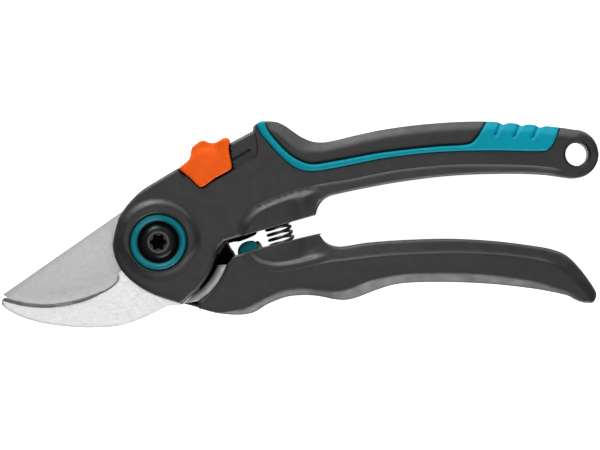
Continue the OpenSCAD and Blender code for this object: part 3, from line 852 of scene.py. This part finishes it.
saddle_edges = [list(from_track([(-2, v), (30, v)])) for v in (0.3, 0.45)]
slider_front = slab(slider_pts, slider_top, lambda p: np.where(track_v(p) > 0.38, slider_back(p), 16.2),
                    step=0.45, grid=0.6, rings=(0.06, 0.2, 0.45, 0.9), lines=saddle_edges)
rear_outline = [p for p in slider_poly if track_v(p[None])[0] < 0.7]
slider_rear = slab(rear_outline, flat(1.4), lambda p: slider_back(p) + 0.05 * (track_v(p) > 0.5),
                   step=0.5, grid=0.8, rings=(0.2, 0.5))
slider = united("lock_slider_saddle", [slider_front, slider_rear], 50)

# ---------------- bumper and spring
dome = curve([(29.3, -4.7), (29.3, -2.8), (30.4, -0.9), (32.4, 0.2), (34.3, 0.5), (35.7, 0.1),
              (36.6, -0.9), (37.1, -2.4), (36.6, -4.9), (31.2, -6.2), (29.3, -4.7)])
dome_poly = resample(dome, 0.4)


def dome_half(p):
    return 4.8 - roundoff(dist(p, dome_poly), 1.6, 1.3) * smooth((p[:, 1] + 5.5) / 1.5)


bumper = make_object("bumper_dome",
                     *slab(dome, *both(dome_half), step=0.4, grid=0.6,
                           rings=(0.08, 0.25, 0.5, 0.9, 1.4), walls=4), 60)

TILT, LEAN = math.radians(15.6), math.radians(6.6)      # of the spring's axis, in the face and towards it
COIL_START = 5.98       # where round the axis the wire starts, in radians
TURNS, COIL_R, WIRE_R = 8.5, 4.55, 0.53
TURN_STEPS = 28         # points of the wire's path in each turn
COIL_FROM, COIL_TO = -8.6 + WIRE_R, 7.9 - WIRE_R
mid = np.array((44.7, 3.4, Z_MID))
along = np.array((-math.sin(TILT), math.cos(TILT), 0))
side = np.array((math.cos(TILT), math.sin(TILT), 0))
upright = np.array((0, 0, 1.0))
axis = along * math.cos(LEAN) + upright * math.sin(LEAN)
top_side = upright * math.cos(LEAN) - along * math.sin(LEAN)


def coil_rise(t):
    """Share of the coil's length reached at t, with its end turns lying closer together."""
    if t < 0.1:
        return 0.7 * t
    if t > 0.9:
        return 1 - 0.7 * (1 - t)
    return 0.07 + 0.86 * (t - 0.1) / 0.8


def coil_point(t):
    a = 2 * math.pi * TURNS * t + COIL_START
    centre = mid + axis * (COIL_FROM + (COIL_TO - COIL_FROM) * coil_rise(t))
    return centre + COIL_R * (math.cos(a) * side - math.sin(a) * top_side)


coil_steps = TURNS * TURN_STEPS
coil = [coil_point(i / coil_steps) for i in range(int(coil_steps) + 1)]
spring = make_object("return_spring_coil", *tube(coil, WIRE_R, 12), 60)


# ---------------- materials
def srgb(r, g, b):
    def lin(c):
        c /= 255
        return c / 12.92 if c <= 0.04045 else ((c + 0.055) / 1.055) ** 2.4
    return (lin(r), lin(g), lin(b), 1)


class Nodes:
    """Small helper for node materials."""

    def __init__(self, name):
        self.mat = bpy.data.materials.new(name)
        self.mat.use_nodes = True
        self.t = self.mat.node_tree
        self.bsdf = self.t.nodes["Principled BSDF"]
        self.pos = self.t.nodes.new("ShaderNodeTexCoord").outputs["Object"]

    def set(self, **kw):
        for k, v in kw.items():
            self.bsdf.inputs[k.replace("_", " ")].default_value = v

    def link(self, a, b):
        self.t.links.new(a, b)

    def scaled(self, scale):
        m = self.t.nodes.new("ShaderNodeMapping")
        m.inputs["Scale"].default_value = scale
        self.link(self.pos, m.inputs["Vector"])
        return m.outputs["Vector"]

    def noise(self, scale, detail=2.0, rough=0.5, vec=None):
        n = self.t.nodes.new("ShaderNodeTexNoise")
        n.inputs["Scale"].default_value = scale
        n.inputs["Detail"].default_value = detail
        n.inputs["Roughness"].default_value = rough
        self.link(vec or self.pos, n.inputs["Vector"])
        return n.outputs["Fac"]

    def ramp(self, fac, lo, hi, a, b):
        r = self.t.nodes.new("ShaderNodeValToRGB")
        r.color_ramp.elements[0].position, r.color_ramp.elements[1].position = lo, hi
        r.color_ramp.elements[0].color, r.color_ramp.elements[1].color = a, b
        self.link(fac, r.inputs["Fac"])
        return r.outputs["Color"]

    def bands(self, fac, stops):
        """Grey levels, 0 to 255, at places along fac."""
        r = self.t.nodes.new("ShaderNodeValToRGB")
        ends = r.color_ramp.elements
        while len(ends) < len(stops):
            ends.new(0.5)
        for e, (place, grey) in zip(ends, stops):
            e.position = place
            e.color = srgb(grey, grey, grey)
        self.link(fac, r.inputs["Fac"])
        return r.outputs["Color"]

    def radius(self, inner, outer):
        """0 to 1 between two distances in mm from the pivot's axis."""
        m = self.t.nodes.new("ShaderNodeVectorMath")
        m.operation = "LENGTH"
        self.link(self.scaled((1, 1, 0)), m.inputs[0])
        return self.range(m.outputs["Value"], 0, 1, inner * MM, outer * MM)

    def along_x(self, start, end):
        """0 to 1 between two places in mm along the object."""
        m = self.t.nodes.new("ShaderNodeSeparateXYZ")
        self.link(self.pos, m.inputs["Vector"])
        return self.range(m.outputs["X"], 0, 1, start * MM, end * MM)

    def mix(self, fac, a, colour):
        m = self.t.nodes.new("ShaderNodeMix")
        m.data_type = "RGBA"
        self.link(fac, m.inputs["Factor"])
        self.link(a, m.inputs["A"])
        m.inputs["B"].default_value = colour
        return m.outputs["Result"]

    def range(self, fac, a, b, lo=0.3, hi=0.7):
        m = self.t.nodes.new("ShaderNodeMapRange")
        for i, v in zip(("From Min", "From Max", "To Min", "To Max"), (lo, hi, a, b)):
            m.inputs[i].default_value = v
        self.link(fac, m.inputs["Value"])
        return m.outputs["Result"]

    def bump(self, height, strength, distance, under=None):
        b = self.t.nodes.new("ShaderNodeBump")
        b.inputs["Strength"].default_value = strength
        b.inputs["Distance"].default_value = distance
        self.link(height, b.inputs["Height"])
        if under:
            self.link(under, b.inputs["Normal"])
        return b.outputs["Normal"]


def moulded(name, dark, light, gloss, rough=(0.4, 0.52), grain=3200, strength=0.35, handled=None):
    """Moulded plastic or rubber: fine spark-eroded grain, and slow changes of shade and gloss."""
    n = Nodes(name)
    colour = n.ramp(n.noise(420, detail=3, rough=0.6), 0.3, 0.7, srgb(*dark), srgb(*light))
    if handled:
        shade_there, start, end = handled
        colour = n.mix(n.along_x(start, end), colour, srgb(*shade_there))
    n.link(colour, n.bsdf.inputs["Base Color"])
    n.link(n.range(n.noise(240, detail=3), *rough), n.bsdf.inputs["Roughness"])
    fine = n.bump(n.noise(grain, rough=0.6), strength, distance=0.00004)
    waves = n.bump(n.noise(180), strength=0.12, distance=0.0002, under=fine)
    n.link(waves, n.bsdf.inputs["Normal"])
    n.set(Specular_IOR_Level=gloss)
    return n.mat


# painted shade on the cutting blade's tang: grey levels at shares of the way between two radii round the
# pivot, black next to the head, the steel's grey further out and dark again at the lower handle's edge
TANG_SHADE_FROM, TANG_SHADE_TO = 22.4, 26.8
TANG_SHADE_BANDS = [(0, 6), (0.2, 10), (0.34, 95), (0.5, 125), (0.72, 185), (0.86, 190), (0.94, 60), (1, 20)]


def steel(name, rough, shades=None, stretch=(260, 700, 700)):
    """Ground steel, mottled and scratched. Without shades it gets painted shade in rings round the pivot.
    """
    n = Nodes(name)
    scratches = n.noise(3.0, detail=5, rough=0.65, vec=n.scaled(stretch))
    if shades:
        colour = n.ramp(n.noise(900, detail=5, rough=0.7), 0.25, 0.75, *[srgb(*c) for c in shades])
    else:
        colour = n.bands(n.radius(TANG_SHADE_FROM, TANG_SHADE_TO), TANG_SHADE_BANDS)
    n.link(colour, n.bsdf.inputs["Base Color"])
    n.link(n.range(scratches, *rough), n.bsdf.inputs["Roughness"])
    scratched = n.bump(scratches, strength=0.25, distance=0.00002)
    mottled = n.bump(n.noise(1600, detail=3), strength=0.12, distance=0.00002, under=scratched)
    n.link(mottled, n.bsdf.inputs["Normal"])
    n.set(Metallic=1.0)
    return n.mat


charcoal = moulded("charcoal_plastic", (22, 22, 23), (27, 27, 28), 0.42)
# near-black and almost without gloss: painted shade for the deep blade slots, the stop rib and the bolt's
# socket
painted_shade_black = moulded("slot_painted_shade_black", (5, 5, 5), (8, 8, 8), 0.03, rough=(0.6, 0.7))
soft = moulded("soft_grip_rubber", (24, 22, 22), (29, 27, 27), 0.42, rough=(0.44, 0.56),
               grain=2600, strength=0.45)
teal = moulded("teal_rubber", (0, 112, 126), (3, 119, 133), 0.08, rough=(0.42, 0.54),
               grain=2600, strength=0.3, handled=((0, 124, 143), 104, 128))
teal_dark = moulded("teal_ring_plastic", (3, 92, 104), (6, 99, 112), 0.14, rough=(0.34, 0.44),
                    strength=0.15)
teal_deep = moulded("teal_bumper_rubber", (2, 90, 102), (5, 98, 112), 0.12, rough=(0.45, 0.55),
                    strength=0.25)
orange = moulded("orange_plastic", (200, 73, 6), (208, 79, 10), 0.12, rough=(0.38, 0.5), strength=0.2)
hook_steel = steel("counter_blade_steel", (0.3, 0.44), [(199, 199, 200), (214, 214, 215)])
# darker steel: painted shade on the hook's bevel and neck
hook_bevel_shade_steel = steel("counter_blade_painted_shade_steel", (0.34, 0.46), [(92, 92, 94), (112, 112, 114)])
blade_steel = steel("cutting_blade_steel", (0.36, 0.5), [(174, 174, 175), (190, 190, 191)])
# the tang's painted shade in rings round the pivot
tang_shade_steel = steel("tang_painted_shade_steel", (0.36, 0.5))
zinc = steel("zinc_plated_steel", (0.3, 0.5), [(150, 150, 152), (176, 176, 176)], stretch=(300, 300, 300))
bronze = steel("oiled_bronze", (0.3, 0.5), [(150, 112, 60), (176, 136, 80)], stretch=(400, 400, 400))
black = moulded("black_oxide_steel", (7, 7, 7), (11, 10, 10), 0.34, rough=(0.28, 0.38), grain=2200,
                strength=0.15)
# lighter steel: a painted highlight on the bolt socket's rim
socket_rim_highlight = steel("bolt_socket_rim_highlight", (0.3, 0.45), [(78, 77, 76), (104, 102, 100)], stretch=(300, 300, 300))
spring_black = moulded("blackened_spring_steel", (7, 7, 7), (11, 11, 11), 0.5, rough=(0.3, 0.42),
                       strength=0.2)


def paint(ob, mat, chosen):
    """Gives a further material to the faces for which chosen(centres in mm, normals) holds."""
    faces = ob.data.polygons
    centre = np.array([f.center for f in faces]) / MM
    normal = np.array([f.normal for f in faces])
    ob.data.materials.append(mat)
    index = np.array([f.material_index for f in faces])
    index[chosen(centre, normal)] = len(ob.data.materials) - 1
    faces.foreach_set("material_index", index)


def slot_faces(outline):
    """Inner faces of the blade slot and the stop rib, but for a narrow margin along the outline; they get
    painted shade.
    """
    def chosen(c, n):
        x, y, z = c.T
        rib = (x < 36.6) & (y < 6) & (z < 13.5)
        deep = (z > 5.1) & (rib | (z < 12))
        mouth = (x > 10) & (x < 27) & (y < 1)
        return deep & (mouth | (np.abs(n[:, 2]) > 0.9)) & (dist(c[:, :2], outline) > 0.6)
    return chosen


def bevel_faces(c, n):
    """The hook's ground bevel and its neck, which get a darker steel as painted shade."""
    x = c[:, 0]
    bevel = (dist(c[:, :2], edge_hook, closed=False) < bevel_width(x)) & (x < -15)
    return (n[:, 2] > 0.5) & (bevel | (x > 8.2))


def tang_faces(c, n):
    return (n[:, 2] > 0.5) & (c[:, 0] > 8)


# faces inside the bolt's socket, which get painted shade
def socket_faces(c, n):
    return (np.hypot(c[:, 0], c[:, 1]) < 3.4) & (c[:, 2] < 16.9)


# the socket's rim, which gets a painted highlight
def socket_rim(c, n):
    r = np.hypot(c[:, 0], c[:, 1])
    return (r > 3.52) & (r < 3.92) & (c[:, 2] > 17.2)


def dress(ob, mat, body, node):
    """Material, body, slot and the CAD node that the piece replaces."""
    ob.data.materials.clear()
    ob.data.materials.append(mat)
    if body == "spring":
        # stretches between its two ends, each held by one handle
        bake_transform(ob)
    else:
        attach(ob, body)
    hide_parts(node)


dress(handle_up, charcoal, "upper", "upper_handle")
dress(pad, soft, "upper", "grip_pad")
dress(inlay, teal, "upper", "accent_inlay")
dress(handle_low, charcoal, "lower", "lower_handle")
dress(hook_ob, hook_steel, "upper", "counter_blade")
dress(blade_ob, blade_steel, "lower", "cutting_blade")
dress(bolt, black, "upper", "pivot_bolt")
dress(ring, teal_dark, "upper", "pivot_ring")
dress(nut, zinc, "upper", "pivot_nut")
dress(slider, orange, "slider", "lock_slider")
dress(bumper, teal_deep, "lower", "bumper")
dress(spring, spring_black, "spring", "return_spring")
# painted shade in the blade slots and on the stop rib of both handles
paint(handle_up, painted_shade_black, slot_faces(resample(rear_cheek + [np.array(NOTCH)], 0.6, closed=False)))
paint(handle_low, painted_shade_black, slot_faces(resample(lower_rear, 0.6)))
# painted shade on the hook's bevel and neck
paint(hook_ob, hook_bevel_shade_steel, bevel_faces)
# painted shade on the tang's upper faces
paint(blade_ob, tang_shade_steel, tang_faces)
# painted shade inside the bolt's socket
paint(bolt, painted_shade_black, socket_faces)
# painted highlight on the socket's rim
paint(bolt, socket_rim_highlight, socket_rim)
hidden = {zinc: ("counter_blade_pins", "cutting_blade_pins", "nut_washer", "slider_pin", "lock_plate"),
          bronze: ("pivot_bush", "thrust_washer"),
          spring_black: ("bolt_disc_spring",)}
for mat, nodes in hidden.items():
    for node in nodes:
        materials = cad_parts[node].data.materials
        materials.clear()
        materials.append(mat)

# ---------------- floor, light and camera
floor_me = bpy.data.meshes.new("floor")
REACH = 3               # half the floor's side, in m
floor_corners = [(-REACH, -REACH, 0), (REACH, -REACH, 0), (REACH, REACH, 0), (-REACH, REACH, 0)]
floor_me.from_pydata(floor_corners, [], [(0, 1, 2, 3)])
floor = link_object("floor", floor_me)
floor.location.z = -0.0002      # just clear of the rear face
pale = Nodes("pale_floor")
pale.set(Base_Color=(0.55, 0.55, 0.55, 1), Roughness=0.9)
pale.set(Emission_Color=(1, 1, 1, 1), Emission_Strength=0.95)
floor_me.materials.append(pale.mat)

world = bpy.data.worlds.new("soft_white")
world.use_nodes = True
background = world.node_tree.nodes["Background"]
background.inputs["Color"].default_value = (1, 1, 1, 1)
background.inputs["Strength"].default_value = 0.1
bpy.context.scene.world = world
bpy.context.scene.view_settings.view_transform = "Standard"

AIM = (0.05, 0.006, 0.01)       # about the middle of the shears


def area_light(name, place, size, power):
    """A rectangular light that faces the shears."""
    light = bpy.data.lights.new(name, "AREA")
    light.shape = "RECTANGLE"
    light.size, light.size_y = size
    light.energy = power
    ob = link_object(name, light)
    ob.location = place
    ob.rotation_euler = (Vector(AIM) - Vector(place)).to_track_quat("-Z", "Y").to_euler()


area_light("key", (-0.28, 0.7, 0.42), (0.3, 0.3), 4.0)
area_light("top_strip", (-0.15, 0.75, 0.24), (0.7, 0.26), 6.0)
area_light("right_strip", (0.46, 0.68, 0.25), (0.35, 0.26), 2.8)
area_light("low_strip", (0.32, -0.75, 0.3), (0.7, 0.3), 11.0)
area_light("overhead", (0.05, 0.0, 1.3), (0.8, 0.8), 3.7)

camera_data = bpy.data.cameras.new("camera")
camera_data.lens = 194.6
camera_data.sensor_width = 36
camera_data.clip_end = 20
camera = link_object("camera", camera_data)
camera.location = (0.0523, 0.0063, 1.214)
bpy.context.scene.camera = camera
